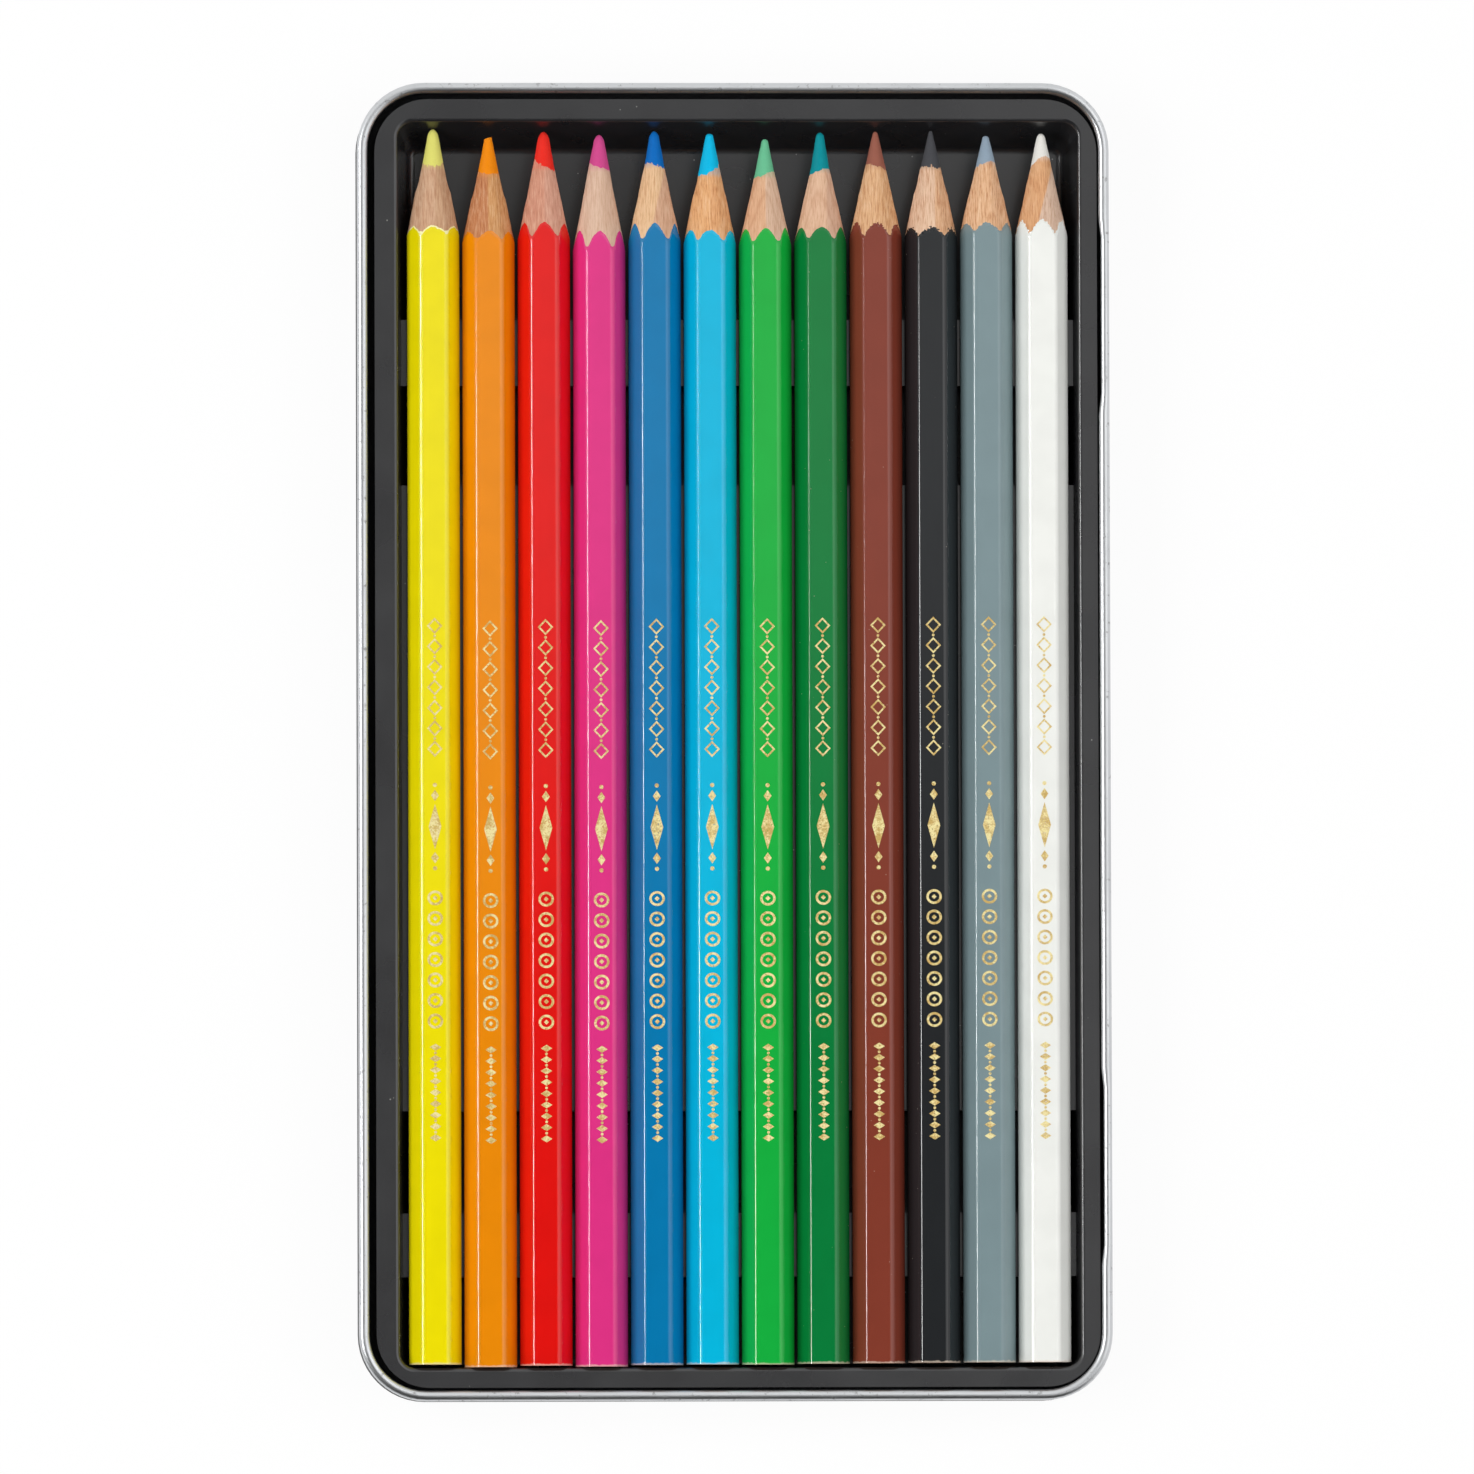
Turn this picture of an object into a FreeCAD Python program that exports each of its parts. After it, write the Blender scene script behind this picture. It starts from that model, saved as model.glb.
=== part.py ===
"""Watercolour pencil set: a shallow rolled-rim tin, a moulded tray and a row of sharpened hexagonal pencils.

Frame: millimetres, +Z up, +Y towards the pencil points, origin under the middle of the tin.
"""
import FreeCAD
import Part

import math
import os

Vector = FreeCAD.Vector
Y_AXIS = Vector(0, 1, 0)
Z_AXIS = Vector(0, 0, 1)

# Pencils, from left to right
colours = (
    "yellow", "orange", "red", "pink", "blue", "sky_blue",
    "light_green", "dark_green", "brown", "black", "grey", "white",
)
pencil_length = 175.0
pencil_flats = 6.75
pencil_edge_radius = 0.9
lacquer_thickness = 0.12
core_diameter = 2.9
point_half_angle = 13.0
pencil_gap = 0.33

# How each pencil was sharpened, as shares of the three sizes above the tables
point_wear = 1.3
wear_shares = (0.0, 0.43, 0.1, 0.35, 0.1, 0.41, 1.0, 0.33, 0.27, 0.21, 0.78, 0.57)
point_wobble = 0.2
wobble_x_shares = (0.1, -0.3, 0.4, -1.0, 0.2, -0.2, 0.6, -0.5, 0.5, -0.3, 0.3, -0.4)
wobble_z_shares = (0.2, 0.4, -0.3, 0.3, -0.2, 0.5, -0.4, 0.2, -0.2, 0.4, 0.1, -0.3)
tip_radius_core_shares = (0.25, 0.23, 0.32, 0.18, 0.31, 0.17, 0.35, 0.18, 0.2, 0.1, 0.34, 0.4)
seam_turns = (0, 1, 0, 2, 1, 0, 2, 0, 1, 2, 0, 1)

# How far each pencil has slid along its groove, as shares of its own end play
pencil_end_play = 0.4
slide_shares = (0.95, 0.0, 0.38, 0.06, 0.49, 0.34, 0.17, 0.48, 0.59, 0.74, 0.38, 0.48)

# Tray: one formed plastic sheet
tray_sheet = 0.6
row_side_gap = 1.4
tip_gap = 0.1
butt_gap = 0.05
flange_left_width = 3.2
flange_right_width = 2.6
flange_tip_width = 3.1
flange_butt_width = 2.8
flange_corner_radius = 7.5
flange_edge_radius = 0.55
well_corner_radius = 2.2
floor_corner_radius = 1.3
floor_edge_radius = 1.1
side_wall_run = 1.9
tip_wall_run = 3.4
butt_wall_run = 0.1
groove_rise = 2.4
groove_clearance = 0.15
divider_drop = 0.6
pencil_proud = 1.2
seat_gap = 0.03

# Start and end of each bank of grooves along the well, counted from the butt end
groove_bank_shares = ((0.073, 0.124), (0.206, 0.708), (0.788, 0.841))

# Tin: drawn sheet with a raised panel in its bottom and an inward curl round its rim
tin_sheet = 0.28
tin_corner_radius = 9.5
tin_bend_radius = 1.6
foot_width = 5.0
panel_raise = 0.45
panel_step_run = 0.8
curl_diameter = 1.5
curl_turn = 285.0
rim_rise = 1.0
tray_clearance = 0.6
tray_side_shift_share = 0.65
tray_end_shift_share = -0.33

# Two windows under the rim, where a lid hooks on, with the curl pressed tighter above each one
window_length = 22.0
window_height = 2.2
window_corner_radius = 0.6
window_drop = 0.4
window_corner_distance = 9.5
curl_pinch = 0.32
pinch_fade = 3.0

# How far every cutting shape runs past the face that it cuts
overrun = 1.0

# Sizes that follow from the pencils
half_flats = pencil_flats / 2
wood_flats = pencil_flats - 2 * lacquer_thickness
wood_edge_radius = pencil_edge_radius - lacquer_thickness
core_radius = core_diameter / 2
hexagon_half_turn = math.radians(30)
point_slope = math.radians(point_half_angle)
pencil_width = 2 * ((half_flats - pencil_edge_radius) / math.cos(hexagon_half_turn) + pencil_edge_radius)
pencil_pitch = pencil_width + pencil_gap
row_width = (len(colours) - 1) * pencil_pitch + pencil_width

# Heights, from the table up
panel_top = panel_raise + tin_sheet
floor_under = panel_top + seat_gap
floor_top = floor_under + tray_sheet
groove_top = floor_top + groove_rise
pencil_axis_height = groove_top + seat_gap + half_flats
divider_top = pencil_axis_height - divider_drop
flange_top = pencil_axis_height + half_flats - pencil_proud
well_depth = flange_top - floor_top
tin_height = flange_top + rim_rise

# The well: its end walls lean away from the pencils, so they are set at the height that a pencil would touch
tip_lean = tip_wall_run * (flange_top - pencil_axis_height) / well_depth
butt_lean = butt_wall_run * (flange_top - groove_top) / well_depth
well_width = row_width + 2 * row_side_gap
well_length = butt_lean + butt_gap + pencil_length + pencil_end_play + tip_gap + tip_lean
tray_width = well_width + flange_left_width + flange_right_width
tray_length = well_length + flange_tip_width + flange_butt_width
tin_width = tray_width + 2 * (tray_clearance + curl_diameter)
tin_length = tray_length + 2 * (tray_clearance + curl_diameter)

# The tray lies off the tin's middle, within its clearance, and the well lies off the tray's middle
tray_x = tray_side_shift_share * tray_clearance
tray_y = tray_end_shift_share * tray_clearance
well_x = tray_x + (flange_left_width - flange_right_width) / 2
well_y = tray_y + (flange_butt_width - flange_tip_width) / 2
well_butt_y = well_y - well_length / 2
pencil_stop_y = well_butt_y + butt_lean + butt_gap


def pencil_x(place):
    """Where a pencil's axis lies across the row, counted from 0 at the left."""
    return well_x + (place - (len(colours) - 1) / 2) * pencil_pitch


def rounded_rectangle(width, length, centre_x, centre_y, height, radius):
    """A closed wire of four lines and four quarter circles, level at the given height."""
    edges = []
    corners = ((1, 1, 0), (-1, 1, 90), (-1, -1, 180), (1, -1, 270))
    last = None
    for side_x, side_y, start in corners + corners[:1]:
        middle = Vector(
            centre_x + side_x * (width / 2 - radius),
            centre_y + side_y * (length / 2 - radius),
            height,
        )
        arc = Part.ArcOfCircle(
            Part.Circle(middle, Z_AXIS, radius),
            math.radians(start),
            math.radians(start + 90),
        ).toShape()
        if last is not None:
            edges.append(Part.makeLine(last.Vertexes[-1].Point, arc.Vertexes[0].Point))
        if len(edges) < 2 * len(corners):
            edges.append(arc)
        last = arc
    return Part.Wire(edges)


def slab(width, length, centre_x, centre_y, bottom, thickness, radius):
    """A flat plate with rounded corners."""
    outline = rounded_rectangle(width, length, centre_x, centre_y, bottom, radius)
    return Part.Face(outline).extrude(Vector(0, 0, thickness))


def hexagon_bar(flats, edge_radius, length):
    """A hexagonal bar along +Y with a flat on top and rounded long edges."""
    inner_corner = (flats / 2 - edge_radius) / math.cos(hexagon_half_turn)
    edges = []
    ends = []
    for turn in range(6):
        angle = math.radians(60 * turn)
        middle = Vector(inner_corner * math.cos(angle), 0, inner_corner * math.sin(angle))
        points = []
        for part_angle in (angle - hexagon_half_turn, angle, angle + hexagon_half_turn):
            reach = Vector(math.cos(part_angle), 0, math.sin(part_angle))
            points.append(middle + reach * edge_radius)
        edges.append(Part.Arc(*points).toShape())
        ends.append((points[0], points[-1]))
    for turn in range(6):
        edges.append(Part.makeLine(ends[turn][1], ends[(turn + 1) % 6][0]))
    outline = Part.Wire(Part.__sortEdges__(edges))
    return Part.Face(outline).extrude(Vector(0, length, 0))


def sharpened_space(length, tip_radius, shift_x, shift_z):
    """What a sharpener leaves of a pencil: a wide cylinder that ends in a cone with a rounded tip."""
    wide = pencil_width
    ball_y = length - tip_radius
    apex_y = ball_y + tip_radius / math.sin(point_slope)
    start = Vector(0, -overrun, 0)
    rim = Vector(wide, -overrun, 0)
    shoulder = Vector(wide, apex_y - wide / math.tan(point_slope), 0)
    touch = Vector(tip_radius * math.cos(point_slope), ball_y + tip_radius * math.sin(point_slope), 0)
    half_way = (math.radians(90) + point_slope) / 2
    middle = Vector(tip_radius * math.cos(half_way), ball_y + tip_radius * math.sin(half_way), 0)
    tip = Vector(0, length, 0)
    outline = Part.Wire([
        Part.makeLine(start, rim),
        Part.makeLine(rim, shoulder),
        Part.makeLine(shoulder, touch),
        Part.Arc(touch, middle, tip).toShape(),
        Part.makeLine(tip, start),
    ])
    space = Part.Face(outline).revolve(Vector(0, 0, 0), Y_AXIS, 360)
    space.translate(Vector(shift_x, 0, shift_z))
    return space


def upper_half_space(seam_turn, length):
    """A block over the plane in which a pencil's two wooden slats are glued, through two of its corners."""
    side = 2 * pencil_width
    block = Part.makeBox(side, length + 2 * overrun, side, Vector(-side / 2, -overrun, 0))
    block.rotate(Vector(0, 0, 0), Y_AXIS, 60 * seam_turn)
    return block


def pencil_pieces(place):
    """One pencil's core, two wooden slats and coat of lacquer, lying in its groove."""
    wear = wear_shares[place] * point_wear
    length = pencil_length - wear
    space = sharpened_space(
        length,
        tip_radius_core_shares[place] * core_radius,
        wobble_x_shares[place] * point_wobble,
        wobble_z_shares[place] * point_wobble,
    )
    core_bar = Part.makeCylinder(core_radius, length, Vector(0, 0, 0), Y_AXIS)
    wood_bar = hexagon_bar(wood_flats, wood_edge_radius, length)
    wood = wood_bar.cut(core_bar).common(space)
    upper_block = upper_half_space(seam_turns[place], length)
    pieces = {
        "core": core_bar.common(space),
        "upper_slat": wood.common(upper_block),
        "lower_slat": wood.cut(upper_block),
        "lacquer": hexagon_bar(pencil_flats, pencil_edge_radius, length).cut(wood_bar).common(space),
    }
    slide = slide_shares[place] * (pencil_end_play + wear)
    for piece in pieces.values():
        piece.translate(Vector(pencil_x(place), pencil_stop_y + slide, pencil_axis_height))
    return pieces


def well_space(grow, bottom):
    """The tray's well, grown by a wall thickness where asked, from its floor up to the flange."""
    top_wire = rounded_rectangle(
        well_width + 2 * grow,
        well_length + 2 * grow,
        well_x,
        well_y,
        flange_top,
        well_corner_radius + grow,
    )
    floor_wire = rounded_rectangle(
        well_width - 2 * side_wall_run + 2 * grow,
        well_length - tip_wall_run - butt_wall_run + 2 * grow,
        well_x,
        well_y + (butt_wall_run - tip_wall_run) / 2,
        bottom,
        floor_corner_radius + grow,
    )
    return Part.makeLoft([floor_wire, top_wire], True, True)


def groove_side_x(height, distance):
    """How far from the pencil's axis a groove's sloping side lies, at a height above the axis."""
    return (distance + height * math.sin(hexagon_half_turn)) / math.cos(hexagon_half_turn)


def bank_block(top_points, bottom, start_y, length):
    """A block along the pencils, flat below, whose top follows the given points across the row."""
    points = [Vector(top_points[0][0], start_y, bottom)]
    points += [Vector(x, start_y, z) for x, z in top_points]
    points += [Vector(top_points[-1][0], start_y, bottom), points[0]]
    return Part.Face(Part.makePolygon(points)).extrude(Vector(0, length, 0))


def bank_tops():
    """The points across a bank of grooves, on its upper side and on the under side of the same sheet."""
    reach = tray_width / 2
    clear = half_flats + groove_clearance
    groove_height = groove_top - pencil_axis_height
    under_height = groove_height - tray_sheet
    upper_half = groove_side_x(groove_height, clear)
    ridge_half = groove_side_x(-divider_drop, clear)
    under_half = groove_side_x(under_height, clear + tray_sheet)
    shoulder_half = groove_side_x(-divider_drop - tray_sheet, clear + tray_sheet)
    peak = (pencil_pitch / 2 * math.cos(hexagon_half_turn) - clear - tray_sheet) / math.sin(hexagon_half_turn)
    under_top = divider_top - tray_sheet
    first_x = pencil_x(0)
    last_x = pencil_x(len(colours) - 1)
    upper = [(well_x - reach, divider_top)]
    under = [(well_x - reach, under_top), (first_x - shoulder_half, under_top)]
    for place in range(len(colours)):
        x = pencil_x(place)
        upper += [(x - ridge_half, divider_top), (x - upper_half, groove_top)]
        upper += [(x + upper_half, groove_top), (x + ridge_half, divider_top)]
        under += [(x - under_half, groove_top - tray_sheet), (x + under_half, groove_top - tray_sheet)]
        if x < last_x:
            under.append((x + pencil_pitch / 2, pencil_axis_height + peak))
    upper.append((well_x + reach, divider_top))
    under += [(last_x + shoulder_half, under_top), (well_x + reach, under_top)]
    return upper, under


def pencil_tray():
    """The black insert: a flanged dish with three banks of grooves, all one sheet and open underneath."""
    inside = well_space(0, floor_top)
    flange = slab(
        tray_width,
        tray_length,
        tray_x,
        tray_y,
        flange_top - tray_sheet,
        tray_sheet,
        flange_corner_radius,
    )
    dish = flange.fuse(well_space(tray_sheet, floor_under)).cut(inside)
    dish = round_level_edges(dish, inside, flange_top, flange_edge_radius)
    dish = round_level_edges(dish, inside, floor_top, floor_edge_radius)
    upper, under = bank_tops()
    for start_share, end_share in groove_bank_shares:
        start_y = well_butt_y + start_share * well_length
        length = (end_share - start_share) * well_length
        bank = bank_block(upper, floor_top - tray_sheet / 2, start_y, length)
        dish = dish.fuse(bank.common(well_space(tray_sheet / 2, floor_top - tray_sheet / 2)))
        hollow = bank_block(under, floor_under - overrun, start_y + tray_sheet, length - 2 * tray_sheet)
        dish = dish.cut(hollow)
    return dish.removeSplitter()


def round_level_edges(dish, inside, height, radius):
    """Rounds the closed loop of edges where the well meets a level face."""
    across = inside.BoundBox
    chosen = []
    for edge in dish.Edges:
        box = edge.BoundBox
        level = abs(box.ZMin - height) < seat_gap and abs(box.ZMax - height) < seat_gap
        within = box.XMin > across.XMin - seat_gap and box.XMax < across.XMax + seat_gap
        within_length = box.YMin > across.YMin - seat_gap and box.YMax < across.YMax + seat_gap
        if level and within and within_length:
            chosen.append(edge)
    return dish.makeFillet(radius, chosen)


def wall_section(curl_radius):
    """The tin's sheet in section, from the panel's edge under the foot and up the wall into the curl.

    X is counted outwards from the middle of the tin's corner, Z from the table.
    """
    outer = tin_corner_radius
    inner = outer - tin_sheet
    bend_x = outer - tin_bend_radius
    inner_bend = tin_bend_radius - tin_sheet
    foot_x = outer - foot_width
    step_x = foot_x - panel_step_run
    curl_middle = Vector(outer - curl_radius, 0, tin_height - curl_radius)
    diagonal = math.radians(45)

    def round_curl(radius, degrees):
        angle = math.radians(degrees)
        return curl_middle + Vector(radius * math.cos(angle), 0, radius * math.sin(angle))

    def round_bend(radius):
        return Vector(bend_x + radius * math.cos(diagonal), 0, tin_bend_radius - radius * math.sin(diagonal))

    curl_hollow = curl_radius - tin_sheet
    half_turn = curl_turn / 2
    outside = [
        Vector(step_x, 0, panel_raise),
        Vector(foot_x, 0, 0),
        Vector(bend_x, 0, 0),
        Vector(outer, 0, tin_bend_radius),
        round_curl(curl_radius, 0),
        round_curl(curl_radius, curl_turn),
    ]
    inside = [
        round_curl(curl_hollow, curl_turn),
        round_curl(curl_hollow, 0),
        Vector(inner, 0, tin_bend_radius),
        Vector(bend_x, 0, tin_sheet),
        Vector(foot_x, 0, tin_sheet),
        Vector(step_x, 0, panel_top),
    ]
    return Part.Wire([
        Part.makeLine(outside[0], outside[1]),
        Part.makeLine(outside[1], outside[2]),
        Part.Arc(outside[2], round_bend(tin_bend_radius), outside[3]).toShape(),
        Part.makeLine(outside[3], outside[4]),
        Part.Arc(outside[4], round_curl(curl_radius, half_turn), outside[5]).toShape(),
        Part.makeLine(outside[5], inside[0]),
        Part.Arc(inside[0], round_curl(curl_hollow, half_turn), inside[1]).toShape(),
        Part.makeLine(inside[1], inside[2]),
        Part.Arc(inside[2], round_bend(inner_bend), inside[3]).toShape(),
        Part.makeLine(inside[3], inside[4]),
        Part.makeLine(inside[4], inside[5]),
        Part.makeLine(inside[5], outside[0]),
    ])


def window_middle(half_y):
    """How far along the straight wall a window's middle lies, from the wall's own middle."""
    return half_y - window_corner_distance - pinch_fade - window_length / 2


def hinge_window(side, half_y):
    """The cutting block for one window: it passes through the right-hand wall just below the curl."""
    corner = Vector(
        tin_width / 2 - tin_sheet - overrun,
        side * window_middle(half_y) - window_length / 2,
        tin_height - curl_diameter - window_drop - window_height,
    )
    block = Part.makeBox(tin_sheet + 2 * overrun, window_length, window_height, corner)
    ends = [edge for edge in block.Edges if edge.BoundBox.XLength > tin_sheet]
    return block.makeFillet(window_corner_radius, ends)


def hinge_side(half_x, half_y):
    """The tin's right-hand wall, with the curl pinched tighter over each window."""
    plain = curl_diameter / 2
    pinched = (curl_diameter - curl_pinch) / 2
    stations = [(-half_y, plain)]
    for side in (-1, 1):
        middle = side * window_middle(half_y)
        stations += [
            (middle - window_length / 2 - pinch_fade, plain),
            (middle - window_length / 2, pinched),
            (middle + window_length / 2, pinched),
            (middle + window_length / 2 + pinch_fade, plain),
        ]
    stations.append((half_y, plain))
    wires = []
    for y, radius in stations:
        wire = wall_section(radius)
        wire.translate(Vector(half_x, y, 0))
        wires.append(wire)
    return Part.makeLoft(wires, True, True)


def tin_base():
    """The open tin: bottom panel, drawn wall and curled rim in one sheet, with two hinge windows."""
    half_x = tin_width / 2 - tin_corner_radius
    half_y = tin_length / 2 - tin_corner_radius
    section = Part.Face(wall_section(curl_diameter / 2))
    corners = ((half_x, half_y), (-half_x, half_y), (-half_x, -half_y), (half_x, -half_y))
    runs = (2 * half_x, 2 * half_y, 2 * half_x)
    pieces = [hinge_side(half_x, half_y)]
    for turn, (x, y) in enumerate(corners):
        corner = section.revolve(Vector(0, 0, 0), Z_AXIS, 90)
        corner.rotate(Vector(0, 0, 0), Z_AXIS, 90 * turn)
        corner.translate(Vector(x, y, 0))
        pieces.append(corner)
        if turn < len(runs):
            side = section.extrude(Vector(0, runs[turn], 0))
            side.rotate(Vector(0, 0, 0), Z_AXIS, 90 * (turn + 1))
            side.translate(Vector(x, y, 0))
            pieces.append(side)
    panel_inset = foot_width + panel_step_run
    pieces.append(slab(
        tin_width - 2 * panel_inset,
        tin_length - 2 * panel_inset,
        0,
        0,
        panel_raise,
        tin_sheet,
        tin_corner_radius - panel_inset,
    ))
    tin = pieces[0].multiFuse(pieces[1:])
    for side in (-1, 1):
        tin = tin.cut(hinge_window(side, half_y))
    return tin.removeSplitter()


def write_node(name, shape):
    """Writes one solid to its own file and prints what it holds."""
    solid = shape.Solids[0] if len(shape.Solids) == 1 else shape
    solid.exportStep(os.path.join("parts", name + ".step"))
    print(name, "solids", len(shape.Solids), "valid", shape.isValid(), "volume", round(shape.Volume, 2))


os.makedirs("parts", exist_ok=True)
write_node("tin_base", tin_base())
write_node("pencil_tray", pencil_tray())
for number, colour in enumerate(colours):
    for kind, shape in pencil_pieces(number).items():
        write_node(f"{colour}_pencil_{kind}", shape)
print("tin", round(tin_width, 2), "x", round(tin_length, 2), "x", round(tin_height, 2))
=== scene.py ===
"""Watercolour pencil set: the looks of the tin, its tray and the pencils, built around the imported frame."""

import math

import bmesh
import bpy
from mathutils import Matrix, Vector


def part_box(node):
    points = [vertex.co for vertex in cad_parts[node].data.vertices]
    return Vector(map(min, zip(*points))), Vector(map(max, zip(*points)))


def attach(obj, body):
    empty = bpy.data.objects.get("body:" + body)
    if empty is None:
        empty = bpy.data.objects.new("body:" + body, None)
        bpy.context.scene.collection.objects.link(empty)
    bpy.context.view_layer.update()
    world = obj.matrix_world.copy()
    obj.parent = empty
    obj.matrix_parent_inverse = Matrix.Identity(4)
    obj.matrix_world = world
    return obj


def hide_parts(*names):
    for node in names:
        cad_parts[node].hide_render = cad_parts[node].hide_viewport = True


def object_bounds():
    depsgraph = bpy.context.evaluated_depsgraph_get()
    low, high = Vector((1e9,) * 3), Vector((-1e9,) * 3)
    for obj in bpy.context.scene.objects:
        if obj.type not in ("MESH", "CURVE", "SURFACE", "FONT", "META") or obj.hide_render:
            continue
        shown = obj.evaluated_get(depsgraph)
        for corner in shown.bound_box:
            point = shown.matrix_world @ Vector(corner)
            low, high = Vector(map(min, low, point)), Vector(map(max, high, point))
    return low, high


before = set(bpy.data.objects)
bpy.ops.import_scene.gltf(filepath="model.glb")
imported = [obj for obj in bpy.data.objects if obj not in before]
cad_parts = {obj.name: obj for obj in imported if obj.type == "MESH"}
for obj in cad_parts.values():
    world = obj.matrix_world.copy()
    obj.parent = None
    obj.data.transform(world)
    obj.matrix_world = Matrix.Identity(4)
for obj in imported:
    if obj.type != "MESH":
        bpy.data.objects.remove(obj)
cad_low, cad_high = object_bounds()


# Tin base
# The open lower half of a flat tin, drawn from one sheet of tinplate with its rim rolled inwards.
# Below the rim the sheet is a dull matt dark grey that is painted shade, standing in for the shadowed table
# its wall reflects and the dark gap inside; on the rim the bare tin coat is satin and scuffed.

mm = 0.001
bare_rim = 1.3 * mm


def paint(red, green, blue):
    """A colour as a paint chart gives it, 0 to 255 a channel, in the renderer's own linear light."""
    shares = [channel / 255 for channel in (red, green, blue)]
    return (*(s / 12.92 if s < 0.04045 else ((s + 0.055) / 1.055) ** 2.4 for s in shares), 1)


def new_finish(name):
    """An empty finish: its material and the shader that gives the surface."""
    material = bpy.data.materials.new(name)
    material.use_nodes = True
    return material, material.node_tree.nodes["Principled BSDF"]


def feed(material, socket, value):
    """Sets a socket to a number or colour, or joins it to the socket that drives it."""
    if isinstance(value, bpy.types.NodeSocket):
        material.node_tree.links.new(value, socket)
    else:
        socket.default_value = value


def node(material, kind, inputs, output=0, **settings):
    """Adds a node with its settings and inputs, and gives the output that is used from it."""
    made = material.node_tree.nodes.new("ShaderNode" + kind)
    for key, value in settings.items():
        setattr(made, key, value)
    for key, value in inputs.items():
        feed(material, made.inputs[key], value)
    return made.outputs[output]


def millimetres(material, centre=(0, 0, 0), stretch=(1, 1, 1)):
    """The piece's own coordinates in millimetres from a centre, with a stretch along each axis."""
    own = node(material, "TexCoord", {}, output="Object")
    scale = [1 / (mm * s) for s in stretch]
    offset = [-c * s for c, s in zip(centre, scale)]
    return node(material, "Mapping", {"Vector": own, "Location": offset, "Scale": scale})


def noise(material, place, per_mm, detail=2.0, roughness=0.5, distortion=0.0):
    """Soft random variation from 0 to 1, with so many features to a millimetre."""
    inputs = {
        "Vector": place, "Scale": per_mm, "Detail": detail,
        "Roughness": roughness, "Distortion": distortion,
    }
    return node(material, "TexNoise", inputs)


def spread(material, value, from_low, from_high, to_low, to_high):
    """Maps a range of values onto another one, and holds the ends."""
    inputs = {0: value, 1: from_low, 2: from_high, 3: to_low, 4: to_high}
    return node(material, "MapRange", inputs)


def sums(material, operation, first, second):
    """One step of arithmetic on two values."""
    return node(material, "Math", {0: first, 1: second}, operation=operation)


def mixed(material, share, first, second, blend_type="MIX"):
    """Two colours mixed by a share from 0 to 1."""
    inputs = {0: share, 6: first, 7: second}
    return node(material, "Mix", inputs, output=2, data_type="RGBA", blend_type=blend_type)


def relief(material, height, depth, strength=1.0):
    """Turns a height from 0 to 1 into a surface relief of the given real depth."""
    return node(material, "Bump", {"Height": height, "Distance": depth, "Strength": strength})


def tinplate():
    """Satin tin coat with soft clouds, fine grain and small scuffs, and a matt dark grey below the rim that
    is painted shade.
    """
    material, shader = new_finish("tinplate_satin")
    place = millimetres(material)
    clouds = noise(material, place, 0.12, detail=3)
    grain = noise(material, place, 5.0, detail=3)
    scuff = spread(material, noise(material, place, 1.1, detail=4, roughness=0.65), 0.6, 0.7, 0, 1)
    clean = mixed(material, clouds, paint(214, 216, 218), paint(196, 198, 200))
    bare = mixed(material, sums(material, "MULTIPLY", scuff, 0.6), clean, paint(128, 128, 127))
    # Painted shade: a matt dark grey on the sheet below the rim, for the shadowed table its wall reflects and
    # the dark gap inside.
    painted_shade_grey = mixed(material, clouds, paint(66, 67, 70), paint(56, 57, 60))
    height = node(material, "SeparateXYZ", {0: place}, output="Z")
    rim_foot = (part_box("tin_base")[1].z - bare_rim) / mm
    # Where the painted shade lies: all of the sheet below the bare rim, which is also made matt and not
    # metal.
    painted_shade_share = spread(material, height, rim_foot, rim_foot + 0.1, 1, 0)
    feed(material, shader.inputs["Base Color"], mixed(material, painted_shade_share, bare, painted_shade_grey))
    gloss = spread(material, clouds, 0.3, 0.7, 0.32, 0.42)
    satin = sums(material, "ADD", gloss, sums(material, "MULTIPLY", scuff, 0.2))
    matt = sums(material, "MULTIPLY", painted_shade_share, 0.75)
    feed(material, shader.inputs["Roughness"], sums(material, "MAXIMUM", satin, matt))
    feed(material, shader.inputs["Normal"], relief(material, grain, 0.01 * mm, 0.5))
    feed(material, shader.inputs["Metallic"], sums(material, "SUBTRACT", 1, painted_shade_share))
    return material


def refinish(node_name, material):
    """Gives a CAD node a finish and keeps its shape."""
    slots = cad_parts[node_name].material_slots
    for slot in slots:
        slot.material = material


refinish("tin_base", tinplate())


# Pencil tray
# The insert, one sheet of black plastic formed hot over a mould, with a groove for each pencil.
# It drops into the tin loose. The face that touched the mould is finely grained, with some dust on it.


def specks(material, place, per_mm):
    """How far each point lies from the nearest of some scattered specks, in shares of their spacing."""
    inputs = {"Vector": place, "Scale": per_mm, "Randomness": 1}
    return node(material, "TexVoronoi", inputs, output="Distance")


def tray_plastic():
    """Black formed sheet: fine mould grain, uneven gloss, a haze of dust and a few specks."""
    material, shader = new_finish("tray_black_plastic")
    place = millimetres(material)
    grain = noise(material, place, 7.0, detail=3)
    clouds = noise(material, place, 0.09, detail=3)
    haze = spread(material, clouds, 0.4, 0.75, 0, 0.35)
    dust = spread(material, specks(material, place, 0.35), 0.02, 0.04, 1, 0)
    black = mixed(material, haze, paint(28, 28, 30), paint(36, 37, 39))
    feed(material, shader.inputs["Base Color"], mixed(material, dust, black, paint(150, 150, 146)))
    feed(material, shader.inputs["Roughness"], spread(material, clouds, 0.3, 0.7, 0.24, 0.34))
    feed(material, shader.inputs["Normal"], relief(material, grain, 0.004 * mm, 0.5))
    shader.inputs["Specular IOR Level"].default_value = 0.9
    return material


refinish("pencil_tray", tray_plastic())


# Coloured cores
# Round sticks of pigment in a binder, pressed through a die and dried, then glued between the slats.
# Each was sharpened with its pencil, and drawing has since worn its nose round, flat or slanted.

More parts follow.
